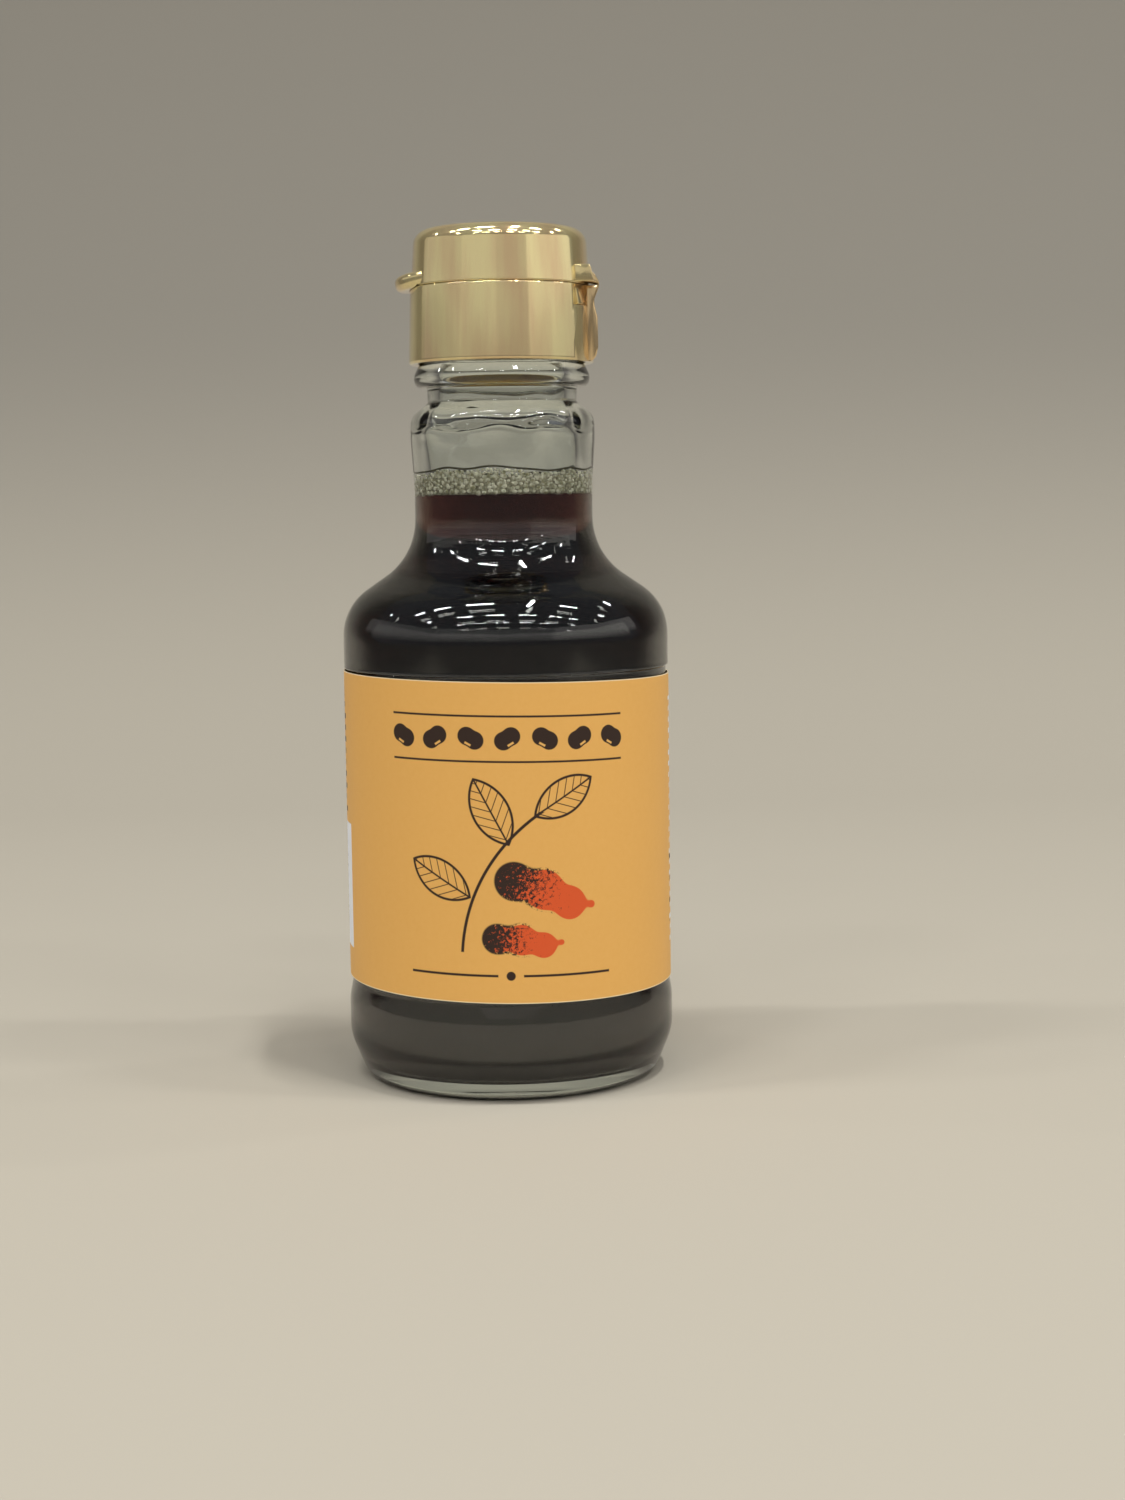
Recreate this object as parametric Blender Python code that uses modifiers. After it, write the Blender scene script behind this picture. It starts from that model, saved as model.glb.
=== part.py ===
"""Soy sauce bottle: a squat glass bottle with a paper label, its sauce and foam, and a hinged pouring cap.

The bottle stands on z = 0 with its axis on Z. The label's front faces -Y, the cap's thumb tab points
to -X and its hinge is at +X. Lengths are in metres.
"""

import bpy
import bmesh
import math
import random
from mathutils import Matrix

MM = 0.001
GAP = 0.3 * MM

# Glass, outside
BODY_R = 28.2 * MM
PANEL_R = 27.55 * MM
SHOULDER_R = 27.95 * MM
NECK_R = 15.25 * MM
BULB_R = 15.75 * MM
GROOVE_R = 12.8 * MM
BEAD_R = 15.05 * MM
FINISH_R = 13.2 * MM
LOCK_R = 13.9 * MM
CONTACT_R = 23.4 * MM
PUNT = 1.4 * MM
PANEL_Z = (16.2 * MM, 70.8 * MM)
SHOULDER_Z = 81.2 * MM
NECK_Z = 89.9 * MM
GROOVE_Z = (115.6 * MM, 118.2 * MM)
BEAD_Z = 119.9 * MM
BEAD_TOP_Z = 121.95 * MM
MOUTH_Z = 132.5 * MM

# Glass, inside
CAVITY_R = 25.1 * MM
NECK_BORE_R = 12.3 * MM
MOUTH_BORE_R = 10.7 * MM
FLOOR_Z = 3.4 * MM
FLOOR_DOME = 0.9 * MM

# Contents
SAUCE_Z = 100.0 * MM
FOAM_Z = 103.6 * MM
BUBBLE_R = (0.7 * MM, 1.1 * MM)
RIM_BUBBLES = 20
TOP_BUBBLES = 6

# Label
LABEL_Z = (17.15 * MM, 69.87 * MM)
LABEL_R = 28.0 * MM
LABEL_T = 0.12 * MM
LABEL_GAP = 6.0 * MM
LABEL_SLOPE = -0.02

# Cap
CAP_FOOT_Z = 122.1 * MM
SEAM_Z = 134.9 * MM
CAP_TOP_Z = 145.05 * MM
CAP_FOOT_R = 15.8 * MM
CAP_SEAM_R = 15.37 * MM
LID_R = 15.15 * MM
LID_SHOULDER_R = 14.4 * MM
CAP_WALL = 1.3 * MM
SKIRT_BORE_R = 14.3 * MM
SPOUT_R = 10.4 * MM
SPOUT_LIP_R = 11.2 * MM
SPOUT_Z = 141.4 * MM
PLUG_Z = 121.4 * MM
SEAL_T = 0.8 * MM
FLANGE_R = 12.6 * MM
FLANGE_T = 0.7 * MM
TAB_REACH = 17.9 * MM
TAB_T = 2.6 * MM
TAB_LIFT = 1.85 * MM
HINGE_X = 16.7 * MM
LUG_HALF = 8.5 * MM
LUG_H = 2.85 * MM
HINGE_HALF = 5.2 * MM
POCKET_Z = 131.3 * MM

ROUND_STEPS = 40
CHORD_ERROR = 0.08 * MM


# Scene helpers
def clear_scene():
    for obj in list(bpy.data.objects):
        bpy.data.objects.remove(obj, do_unlink=True)


def new_collection(name, hidden=False):
    collection = bpy.data.collections.new(name)
    bpy.context.scene.collection.children.link(collection)
    collection.hide_render = hidden
    return collection


def new_material(name, colour, roughness, metallic=0.0, transmission=0.0):
    material = bpy.data.materials.new(name)
    material.use_nodes = True
    shader = material.node_tree.nodes["Principled BSDF"]
    shader.inputs["Base Color"].default_value = (*colour, 1.0)
    shader.inputs["Roughness"].default_value = roughness
    shader.inputs["Metallic"].default_value = metallic
    shader.inputs["Transmission Weight"].default_value = transmission
    material.diffuse_color = (*colour, 1.0)
    return material


def add_object(name, bm, collection, material=None):
    mesh = bpy.data.meshes.new(name)
    bm.to_mesh(mesh)
    bm.free()
    mesh.shade_smooth()
    mesh.set_sharp_from_angle(angle=math.radians(35))
    obj = bpy.data.objects.new(name, mesh)
    collection.objects.link(obj)
    if material:
        mesh.materials.append(material)
    return obj


def as_cutter(obj):
    obj.hide_render = True
    obj.display_type = "WIRE"
    return obj


def add_boolean(obj, other, operation):
    modifier = obj.modifiers.new(f"{operation.title()} {other.name}", "BOOLEAN")
    modifier.operation = operation
    modifier.object = other
    modifier.solver = "EXACT"


# Shapes
def rounded(corners):
    """Points of an outline whose corners (r, z, radius) are rounded where their radius isn't zero."""
    points = []
    for index, (r, z, radius) in enumerate(corners):
        if radius == 0 or index in (0, len(corners) - 1):
            points.append((r, z))
            continue
        r0, z0, _ = corners[index - 1]
        r1, z1, _ = corners[index + 1]
        angle_in = math.atan2(z0 - z, r0 - r)
        angle_out = math.atan2(z1 - z, r1 - r)
        turn = (angle_out - angle_in + math.pi) % math.tau - math.pi
        half = abs(turn) / 2
        middle = angle_in + turn / 2
        centre_r = r + radius / math.sin(half) * math.cos(middle)
        centre_z = z + radius / math.sin(half) * math.sin(middle)
        side = math.copysign(1.0, turn)
        first = angle_in - side * math.pi / 2
        sweep = side * (math.pi - 2 * half)
        arc_step = 2 * math.acos(1 - min(1.0, CHORD_ERROR / radius))
        steps = max(1, math.ceil(abs(sweep) / arc_step))
        for step in range(steps + 1):
            angle = first - sweep * step / steps
            points.append((centre_r + radius * math.cos(angle), centre_z + radius * math.sin(angle)))
    return points


def add_turned(name, points, collection, material=None, ring=False):
    """A solid turned about Z from an outline that runs down its outer side; a ring's outline is closed."""
    bm = bmesh.new()
    verts = [bm.verts.new((r, 0.0, z)) for r, z in points]
    ends = verts[1:] + verts[:1] if ring else verts[1:]
    for a, b in zip(verts, ends):
        bm.edges.new((a, b))
    obj = add_object(name, bm, collection, material)
    screw = obj.modifiers.new("Turn", "SCREW")
    screw.steps = ROUND_STEPS
    screw.render_steps = ROUND_STEPS
    screw.use_merge_vertices = True
    screw.merge_threshold = 0.00001
    screw.use_smooth_shade = True
    return obj


def add_box(name, low, high, collection, turn=0.0):
    """A box between two corners, then turned about Z."""
    bm = bmesh.new()
    bmesh.ops.create_cube(bm, size=1.0)
    size = [b - a for a, b in zip(low, high)]
    centre = [(a + b) / 2 for a, b in zip(low, high)]
    bmesh.ops.scale(bm, vec=size, verts=bm.verts)
    bmesh.ops.translate(bm, vec=centre, verts=bm.verts)
    bmesh.ops.rotate(bm, matrix=Matrix.Rotation(turn, 3, "Z"), verts=bm.verts)
    return add_object(name, bm, collection)


def add_prism(name, outline, half_width, collection):
    """An outline in X and Z, made as wide as two half widths along Y."""
    bm = bmesh.new()
    face = bm.faces.new([bm.verts.new((x, -half_width, z)) for x, z in outline])
    swept = bmesh.ops.extrude_face_region(bm, geom=[face], use_keep_orig=True)
    moved = [item for item in swept["geom"] if isinstance(item, bmesh.types.BMVert)]
    bmesh.ops.translate(bm, vec=(0.0, 2 * half_width, 0.0), verts=moved)
    bmesh.ops.recalc_face_normals(bm, faces=bm.faces)
    return add_object(name, bm, collection)


# Sub-parts
def cavity_corners(inset):
    """The inside of the glass from its mouth down to the floor's centre, moved in by inset."""
    return [
        (MOUTH_BORE_R - inset, MOUTH_Z, 0.0),
        (MOUTH_BORE_R - inset, 115.2 * MM, 1.0 * MM),
        (NECK_BORE_R - inset, 112.9 * MM, 1.6 * MM),
        (NECK_BORE_R - 0.15 * MM - inset, NECK_Z - 1.3 * MM, 12.0 * MM),
        (CAVITY_R - inset, SHOULDER_Z - 1.6 * MM, 7.5 * MM),
        (CAVITY_R - inset, FLOOR_Z + 4.6 * MM + inset, 6.0 * MM),
        (CAVITY_R - 3.4 * MM - inset, FLOOR_Z + inset, 3.0 * MM),
        (0.0, FLOOR_Z + FLOOR_DOME + inset, 0.0),
    ]


def glass_bottle(parts):
    outside = [
        (FINISH_R, MOUTH_Z, 0.8 * MM),
        (FINISH_R, 128.2 * MM, 0.0),
        (LOCK_R, 127.5 * MM, 0.0),
        (LOCK_R, 125.6 * MM, 0.0),
        (FINISH_R, 124.9 * MM, 0.0),
        (FINISH_R, BEAD_TOP_Z + 0.2 * MM, 0.0),
        (BEAD_R - 1.3 * MM, BEAD_TOP_Z, 0.5 * MM),
        (BEAD_R, BEAD_Z, 2.0 * MM),
        (BEAD_R - 0.3 * MM, GROOVE_Z[1] + 0.1 * MM, 0.9 * MM),
        (GROOVE_R, GROOVE_Z[1], 0.2 * MM),
        (GROOVE_R - 0.1 * MM, GROOVE_Z[0], 0.2 * MM),
        (BULB_R, GROOVE_Z[0] - 2.3 * MM, 3.0 * MM),
        (BULB_R, 109.2 * MM, 8.0 * MM),
        (NECK_R, 101.4 * MM, 12.0 * MM),
        (NECK_R, NECK_Z, 11.8 * MM),
        (SHOULDER_R, SHOULDER_Z, 9.7 * MM),
        (SHOULDER_R, PANEL_Z[1], 0.0),
        (PANEL_R, PANEL_Z[1] - 0.3 * MM, 0.0),
        (PANEL_R, PANEL_Z[0] + 0.4 * MM, 0.0),
        (BODY_R, PANEL_Z[0] - 0.4 * MM, 0.0),
        (BODY_R, 7.2 * MM, 9.0 * MM),
        (25.9 * MM, 1.5 * MM, 2.0 * MM),
        (CONTACT_R, 0.0, 0.25 * MM),
        (CONTACT_R - 2.2 * MM, 0.0, 0.0),
        (CONTACT_R - 3.6 * MM, 0.7 * MM, 0.0),
        (0.0, PUNT, 0.0),
    ]
    inside = rounded(cavity_corners(0.0))[::-1]
    glass = new_material("Clear soda-lime glass", (0.78, 0.84, 0.78), 0.05, transmission=1.0)
    return add_turned("glass_bottle", inside + rounded(outside), parts, glass)


def soy_sauce(parts):
    wall = [corner for corner in cavity_corners(GAP) if corner[1] < SAUCE_Z]
    top = [(0.0, SAUCE_Z, 0.0), (NECK_BORE_R - 0.1 * MM - GAP, SAUCE_Z, 0.0)]
    sauce = new_material("Dark soy sauce", (0.045, 0.012, 0.008), 0.08)
    return add_turned("soy_sauce", rounded(top + wall), parts, sauce)


def foam(parts, cutters):
    """A layer of foam on the sauce: a flat core with bubbles fused along its rim and over its top."""
    draw = random.Random(7)
    low = SAUCE_Z + GAP
    reach = NECK_BORE_R - 0.1 * MM - GAP
    core_r = reach - 0.6 * MM
    foam_white = new_material("Soy sauce foam", (0.62, 0.60, 0.45), 0.25)
    core = [(0.0, FOAM_Z, 0.0), (core_r, FOAM_Z, 0.5 * MM), (core_r, low, 0.0), (0.0, low, 0.0)]
    layer = add_turned("foam", rounded(core), parts, foam_white)

    bubbles = bpy.data.collections.new("Foam bubbles")
    cutters.children.link(bubbles)
    spots = []
    for row in range(2):
        for index in range(RIM_BUBBLES):
            radius = draw.uniform(*BUBBLE_R)
            angle = math.tau * (index + 0.5 * row + draw.uniform(-0.2, 0.2)) / RIM_BUBBLES
            height = low + radius if row == 0 else FOAM_Z - draw.uniform(0.2, 0.9) * MM
            spots.append((reach - radius, angle, height, radius))
    for index in range(TOP_BUBBLES):
        radius = draw.uniform(*BUBBLE_R)
        distance = (core_r - 1.5 * MM) * math.sqrt((index + 0.5) / TOP_BUBBLES)
        spots.append((distance, index * 2.4, FOAM_Z, radius))
    for index, (distance, angle, height, radius) in enumerate(spots):
        bm = bmesh.new()
        bmesh.ops.create_icosphere(bm, subdivisions=1, radius=radius)
        turn = Matrix.Rotation(draw.uniform(0.0, math.tau), 3, draw.choice("XYZ"))
        bmesh.ops.rotate(bm, matrix=turn, verts=bm.verts)
        centre = (distance * math.cos(angle), distance * math.sin(angle), height)
        bmesh.ops.translate(bm, vec=centre, verts=bm.verts)
        as_cutter(add_object(f"Bubble {index}", bm, bubbles))
    return fuse_collection(layer, bubbles)


def fuse_collection(obj, collection):
    """One Boolean union on a collection, applied, with the collection's objects then removed."""
    union = obj.modifiers.new("Fuse", "BOOLEAN")
    union.operation = "UNION"
    union.operand_type = "COLLECTION"
    union.collection = collection
    union.solver = "MANIFOLD"
    graph = bpy.context.evaluated_depsgraph_get()
    fused = bpy.data.meshes.new_from_object(obj.evaluated_get(graph))
    obj.modifiers.clear()
    obj.data = fused
    for bubble in list(collection.objects):
        bpy.data.objects.remove(bubble, do_unlink=True)
    bpy.data.collections.remove(collection)
    return obj


def paper_label(parts):
    """The label is glued on a little askew, so its right side sits lower."""
    inner_r = LABEL_R - LABEL_T
    gap_angle = LABEL_GAP / LABEL_R
    steps = ROUND_STEPS
    bm = bmesh.new()
    ends = [bm.verts.new((0.0, inner_r, z)) for z in LABEL_Z]
    edge = bm.edges.new(ends)
    start = Matrix.Rotation(gap_angle / 2, 3, "Z")
    bmesh.ops.rotate(bm, matrix=start, verts=bm.verts)
    bmesh.ops.spin(
        bm, geom=[*ends, edge], cent=(0.0, 0.0, 0.0), axis=(0.0, 0.0, 1.0),
        angle=math.tau - gap_angle, steps=steps, use_merge=False, use_duplicate=False,
    )
    lean = Matrix.Identity(4)
    lean[2][0] = LABEL_SLOPE
    bmesh.ops.transform(bm, matrix=lean, verts=bm.verts)
    bmesh.ops.recalc_face_normals(bm, faces=bm.faces)
    paper = new_material("Printed label paper", (0.78, 0.42, 0.09), 0.6)
    label = add_object("label", bm, parts, paper)
    thick = label.modifiers.new("Paper", "SOLIDIFY")
    thick.thickness = LABEL_T
    thick.offset = 1.0
    return label


def cap_insert(parts, gold):
    """The inner piece: spout above, seal still whole, flange on the glass mouth, and plug below."""
    bore_r = SPOUT_R - 1.1 * MM
    plug_r = MOUTH_BORE_R - GAP
    under_z = MOUTH_Z + GAP
    flange_z = under_z + FLANGE_T
    seal_z = under_z + SEAL_T
    outline = [
        (0.0, seal_z, 0.0),
        (bore_r, seal_z, 0.0),
        (bore_r, SPOUT_Z - 1.6 * MM, 1.0 * MM),
        (SPOUT_LIP_R - 0.7 * MM, SPOUT_Z, 0.3 * MM),
        (SPOUT_LIP_R, SPOUT_Z - 0.3 * MM, 0.3 * MM),
        (SPOUT_R, SPOUT_Z - 2.2 * MM, 1.0 * MM),
        (SPOUT_R, flange_z, 0.0),
        (FLANGE_R, flange_z, 0.0),
        (FLANGE_R, under_z, 0.0),
        (plug_r, under_z, 0.0),
        (plug_r, PLUG_Z + 0.6 * MM, 0.0),
        (plug_r - 0.4 * MM, PLUG_Z, 0.0),
        (bore_r, PLUG_Z, 0.0),
        (bore_r, under_z, 0.0),
        (0.0, under_z, 0.0),
    ]
    return add_turned("cap_insert", rounded(outline), parts, gold)


def cap_base(parts, cutters, gold):
    """The skirt round the glass finish, with a deck that the spout stands through."""
    deck_z = SEAM_Z - GAP / 2
    under_z = MOUTH_Z + 2 * GAP + FLANGE_T
    hole_r = SPOUT_R + GAP
    outline = [
        (hole_r, deck_z, 0.0),
        (CAP_SEAM_R, deck_z, 0.25 * MM),
        (CAP_FOOT_R, CAP_FOOT_Z + 1.9 * MM, 2.0 * MM),
        (CAP_FOOT_R - 0.5 * MM, CAP_FOOT_Z, 0.5 * MM),
        (SKIRT_BORE_R, CAP_FOOT_Z, 0.0),
        (SKIRT_BORE_R, under_z, 0.0),
        (hole_r, under_z, 0.0),
    ]
    base = add_turned("cap_base", rounded(outline), parts, gold, ring=True)

    swell = [
        (14.35 * MM, CAP_FOOT_Z + 0.1 * MM),
        (15.3 * MM, CAP_FOOT_Z + 0.1 * MM),
        (16.0 * MM, CAP_FOOT_Z + 0.9 * MM),
        (16.35 * MM, CAP_FOOT_Z + 2.4 * MM),
        (16.3 * MM, 129.5 * MM),
        (15.8 * MM, 131.5 * MM),
        (15.8 * MM, 132.5 * MM),
        (HINGE_X - 0.3 * MM, deck_z - 0.7 * MM),
        (HINGE_X - 0.25 * MM, deck_z),
        (14.35 * MM, deck_z),
    ]
    panel = as_cutter(add_prism("Hinge panel", swell, HINGE_HALF, cutters))
    add_boolean(base, panel, "UNION")
    for side in (-1, 1):
        turn = math.radians(29.5) * side
        low = (14.75 * MM, -2.6 * MM, POCKET_Z)
        high = (17.0 * MM, 2.6 * MM, deck_z + 1.0 * MM)
        pocket = as_cutter(add_box(f"Hinge pocket {side}", low, high, cutters, turn))
        add_boolean(base, pocket, "DIFFERENCE")
        low = (15.35 * MM, -2.6 * MM, CAP_FOOT_Z - 1.0 * MM)
        high = (17.0 * MM, 2.6 * MM, POCKET_Z - 0.5 * MM)
        strip = as_cutter(add_box(f"Tear strip {side}", low, high, cutters, turn))
        add_boolean(base, strip, "DIFFERENCE")
    return base


def cap_lid(parts, cutters, gold):
    """The flip-top lid, hollow over the spout, with a drooping thumb tab and a lug over the hinge.

    It hangs from an empty on the hinge's axis.
    """
    foot_z = SEAM_Z + GAP / 2
    ceiling_z = CAP_TOP_Z - CAP_WALL
    dome_r = 10.0 * MM
    outline = [
        (0.0, CAP_TOP_Z, 0.0),
        (dome_r, CAP_TOP_Z - 0.3 * MM, 8.0 * MM),
        (LID_SHOULDER_R, CAP_TOP_Z - 0.55 * MM, 2.6 * MM),
        (LID_R, foot_z, 0.2 * MM),
        (LID_R - CAP_WALL, foot_z, 0.0),
        (LID_SHOULDER_R - CAP_WALL, ceiling_z - 0.5 * MM, 1.4 * MM),
        (dome_r, ceiling_z - 0.3 * MM, 8.0 * MM),
        (0.0, ceiling_z, 0.0),
    ]
    lid = add_turned("cap_lid", rounded(outline), parts, gold)

    reach = 8.4 * MM
    bm = bmesh.new()
    bmesh.ops.create_cone(
        bm, cap_ends=True, segments=40, radius1=reach, radius2=reach, depth=TAB_T,
    )
    bmesh.ops.rotate(bm, matrix=Matrix.Rotation(math.radians(-9), 3, "Y"), verts=bm.verts)
    centre = (-TAB_REACH + reach * 0.99, 0.0, SEAM_Z + TAB_LIFT)
    bmesh.ops.translate(bm, vec=centre, verts=bm.verts)
    tab = as_cutter(add_object("Thumb tab", bm, cutters))
    soft = tab.modifiers.new("Soft edge", "BEVEL")
    soft.width = 0.9 * MM
    soft.segments = 3
    middle_r = LID_R - CAP_WALL / 2
    edge_z = foot_z + 0.1 * MM
    clear_r = CAP_SEAM_R + 1.2 * GAP
    low_z = CAP_FOOT_Z
    core_outline = [(0.0, CAP_TOP_Z), (middle_r - 0.3 * MM, CAP_TOP_Z), (middle_r, edge_z)]
    core_outline += [(clear_r, edge_z), (clear_r, low_z), (0.0, low_z)]
    core = as_cutter(add_turned("Lid core", core_outline, cutters))
    add_boolean(tab, core, "DIFFERENCE")
    add_boolean(lid, tab, "UNION")

    top_z = edge_z + LUG_H
    lug_outline = [
        (12.4 * MM, edge_z),
        (15.7 * MM, edge_z),
        (15.1 * MM, top_z - 0.3 * MM),
        (14.8 * MM, top_z),
        (12.4 * MM, top_z),
    ]
    web_outline = [
        (13.6 * MM, edge_z + 0.05 * MM),
        (HINGE_X - 0.25 * MM, edge_z + 0.05 * MM),
        (HINGE_X - 0.15 * MM, edge_z + 0.4 * MM),
        (16.0 * MM, edge_z + 1.2 * MM),
        (15.2 * MM, top_z - 0.6 * MM),
        (13.6 * MM, top_z - 0.35 * MM),
    ]
    for name, outline, half in (("Hinge lug", lug_outline, LUG_HALF), ("Hinge web", web_outline, HINGE_HALF)):
        lug = as_cutter(add_prism(name, outline, half, cutters))
        add_boolean(lug, core, "DIFFERENCE")
        add_boolean(lid, lug, "UNION")

    hinge = bpy.data.objects.new("Lid hinge", None)
    hinge.location = (HINGE_X, 0.0, SEAM_Z)
    parts.objects.link(hinge)
    lid.parent = hinge
    lid.location = (-HINGE_X, 0.0, -SEAM_Z)


def main():
    clear_scene()
    parts = new_collection("Soy sauce bottle")
    cutters = new_collection("Cutters", hidden=True)
    gold = new_material("Gold pearl polypropylene", (0.52, 0.38, 0.16), 0.3, metallic=0.5)
    glass_bottle(parts)
    soy_sauce(parts)
    foam(parts, cutters)
    paper_label(parts)
    cap_insert(parts, gold)
    cap_base(parts, cutters, gold)
    cap_lid(parts, cutters, gold)


main()
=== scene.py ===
import bpy
import math
import random
from mathutils import Matrix, Vector


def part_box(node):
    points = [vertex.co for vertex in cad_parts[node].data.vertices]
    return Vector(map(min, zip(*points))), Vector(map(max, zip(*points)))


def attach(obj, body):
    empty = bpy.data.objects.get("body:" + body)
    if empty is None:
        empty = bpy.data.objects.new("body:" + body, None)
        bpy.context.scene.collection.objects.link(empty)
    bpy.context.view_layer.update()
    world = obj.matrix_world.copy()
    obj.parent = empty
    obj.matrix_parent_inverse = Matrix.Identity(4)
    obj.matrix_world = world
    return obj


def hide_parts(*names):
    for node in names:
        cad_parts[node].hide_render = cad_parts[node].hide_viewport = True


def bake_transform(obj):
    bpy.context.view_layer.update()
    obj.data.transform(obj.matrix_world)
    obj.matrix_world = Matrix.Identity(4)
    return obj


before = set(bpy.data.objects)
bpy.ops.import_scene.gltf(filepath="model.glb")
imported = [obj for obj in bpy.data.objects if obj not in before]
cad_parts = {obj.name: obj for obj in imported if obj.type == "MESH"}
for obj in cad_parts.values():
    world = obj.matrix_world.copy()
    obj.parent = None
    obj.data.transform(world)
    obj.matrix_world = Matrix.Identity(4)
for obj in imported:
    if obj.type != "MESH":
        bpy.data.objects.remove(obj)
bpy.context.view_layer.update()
mm = 0.001
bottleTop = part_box("glass_bottle")[1]
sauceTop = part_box("soy_sauce")[1]
baseFoot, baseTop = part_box("cap_base")
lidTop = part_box("cap_lid")[1]
print("frame loaded")


# small helpers for shapes

def deselectAll():
    if bpy.context.mode != "OBJECT":
        bpy.ops.object.mode_set(mode="OBJECT")
    bpy.ops.object.select_all(action="DESELECT")


def selectOnly(piece):
    deselectAll()
    piece.select_set(True)
    bpy.context.view_layer.objects.active = piece


def startEditing(piece):
    selectOnly(piece)
    bpy.ops.object.mode_set(mode="EDIT")
    bpy.ops.mesh.select_mode(type="VERT")


def nameNewPiece(name):
    piece = bpy.context.object
    piece.name = piece.data.name = name
    bpy.ops.object.transform_apply(location=True, rotation=True, scale=True)
    return piece


def finishPiece(piece, body, material, angle=38, replaced=()):
    # smooth shading, the material, the body it rides on, and the CAD nodes that it stands for
    selectOnly(piece)
    bpy.ops.object.shade_smooth_by_angle(angle=math.radians(angle))
    piece.data.materials.clear()
    piece.data.materials.append(material)
    if body:
        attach(piece, body)
    if replaced:
        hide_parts(*replaced)
    print("made", piece.name, len(piece.data.polygons), "faces")
    return piece


def applyModifier(piece, kind, settings):
    selectOnly(piece)
    modifier = piece.modifiers.new(kind.title(), kind)
    for key, value in settings.items():
        setattr(modifier, key, value)
    bpy.ops.object.modifier_apply(modifier=modifier.name)


def cutAway(piece, cutter):
    applyModifier(piece, "BOOLEAN", {"operation": "DIFFERENCE", "object": cutter})


def toMetres(corners):
    # an outline's corners (radius, height, rounding) out of mm
    return [(r * mm, z * mm, rounding * mm) for r, z, rounding in corners]


def roundedOutline(corners, chordError=0.006 * mm):
    # corners are (radius, height, rounding); a rounded corner becomes an arc
    points = []
    for index, (r, z, rounding) in enumerate(corners):
        if rounding == 0 or index in (0, len(corners) - 1):
            points.append((r, z))
            continue
        before, after = corners[index - 1], corners[index + 1]
        angleIn = math.atan2(before[1] - z, before[0] - r)
        angleOut = math.atan2(after[1] - z, after[0] - r)
        turn = (angleOut - angleIn + math.pi) % math.tau - math.pi
        half = abs(turn) / 2
        middle = angleIn + turn / 2
        centreR = r + rounding / math.sin(half) * math.cos(middle)
        centreZ = z + rounding / math.sin(half) * math.sin(middle)
        side = math.copysign(1, turn)
        first = angleIn - side * math.pi / 2
        sweep = side * (math.pi - 2 * half)
        arcStep = 2 * math.acos(1 - min(1, chordError / rounding))
        steps = max(2, math.ceil(abs(sweep) / arcStep))
        for step in range(steps + 1):
            angle = first - sweep * step / steps
            points.append((centreR + rounding * math.cos(angle), centreZ + rounding * math.sin(angle)))
    return points


def held(points, longest=3 * mm, edge=0.12 * mm):
    # splits straight stretches, close to their ends too, so that smooth shading keeps them straight
    filled = [points[0]]
    for (r0, z0), (r1, z1) in zip(points, points[1:]):
        length = math.hypot(r1 - r0, z1 - z0)
        shares = [1]
        if length > 6 * edge:
            count = math.ceil(length / longest)
            between = [step / count for step in range(1, count)]
            shares = [edge / length, *between, 1 - edge / length, 1]
        for share in shares:
            filled.append((r0 + (r1 - r0) * share, z0 + (z1 - z0) * share))
    return filled


def turnOutline(name, outline, sides=128, ring=False):
    # a circle pulled up ring by ring; the ends close on the axis, or on each other for a ring
    outline = held(outline)
    inner = outline if ring else outline[1:-1]
    startR, startZ = inner[0]
    deselectAll()
    bpy.ops.mesh.primitive_circle_add(vertices=sides, radius=startR, location=(0, 0, startZ))
    piece = nameNewPiece(name)
    startEditing(piece)
    bpy.ops.mesh.select_all(action="SELECT")
    for (r0, z0), (r1, z1) in zip(inner, inner[1:]):
        bpy.ops.mesh.extrude_region_move(TRANSFORM_OT_translate={"value": (0, 0, z1 - z0)})
        bpy.ops.transform.resize(value=(r1 / r0, r1 / r0, 1), center_override=(0, 0, z1))
    if ring:
        bpy.ops.mesh.select_all(action="DESELECT")
        bpy.ops.mesh.select_non_manifold()
        bpy.ops.mesh.bridge_edge_loops()
    else:
        for edgeZ, endZ in ((inner[-1][1], outline[-1][1]), (inner[0][1], outline[0][1])):
            bpy.ops.mesh.extrude_region_move(TRANSFORM_OT_translate={"value": (0, 0, endZ - edgeZ)})
            bpy.ops.mesh.merge(type="CENTER")
            bpy.ops.mesh.select_all(action="DESELECT")
            bpy.ops.mesh.select_non_manifold()
    bpy.ops.mesh.select_all(action="SELECT")
    bpy.ops.mesh.normals_make_consistent(inside=False)
    bpy.ops.object.mode_set(mode="OBJECT")
    return piece


def selectFaces(piece, test):
    # picks faces by their place, in object mode, ready for the next edit
    bpy.ops.object.mode_set(mode="OBJECT")
    for vertex in piece.data.vertices:
        vertex.select = False
    for edge in piece.data.edges:
        edge.select = False
    for face in piece.data.polygons:
        face.select = test(face.center)
    bpy.ops.object.mode_set(mode="EDIT")
    bpy.ops.mesh.select_mode(type="FACE")


def joinPieces(main, others):
    selectOnly(main)
    for other in others:
        other.select_set(True)
    bpy.ops.object.join()
    return main


# small helpers for materials

def toLinear(hexColour):
    parts = [int(hexColour[i:i + 2], 16) / 255 for i in (1, 3, 5)]
    return [c / 12.92 if c <= 0.04045 else ((c + 0.055) / 1.055) ** 2.4 for c in parts] + [1]


def addNode(tree, kind, settings):
    # a setting may be a property, an input's value, or another node's output to link in
    node = tree.nodes.new(kind)
    for key, value in settings.items():
        if isinstance(value, bpy.types.NodeSocket):
            tree.links.new(value, node.inputs[key])
        elif isinstance(key, str) and hasattr(node, key):
            setattr(node, key, value)
        else:
            node.inputs[key].default_value = value
    return node


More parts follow.
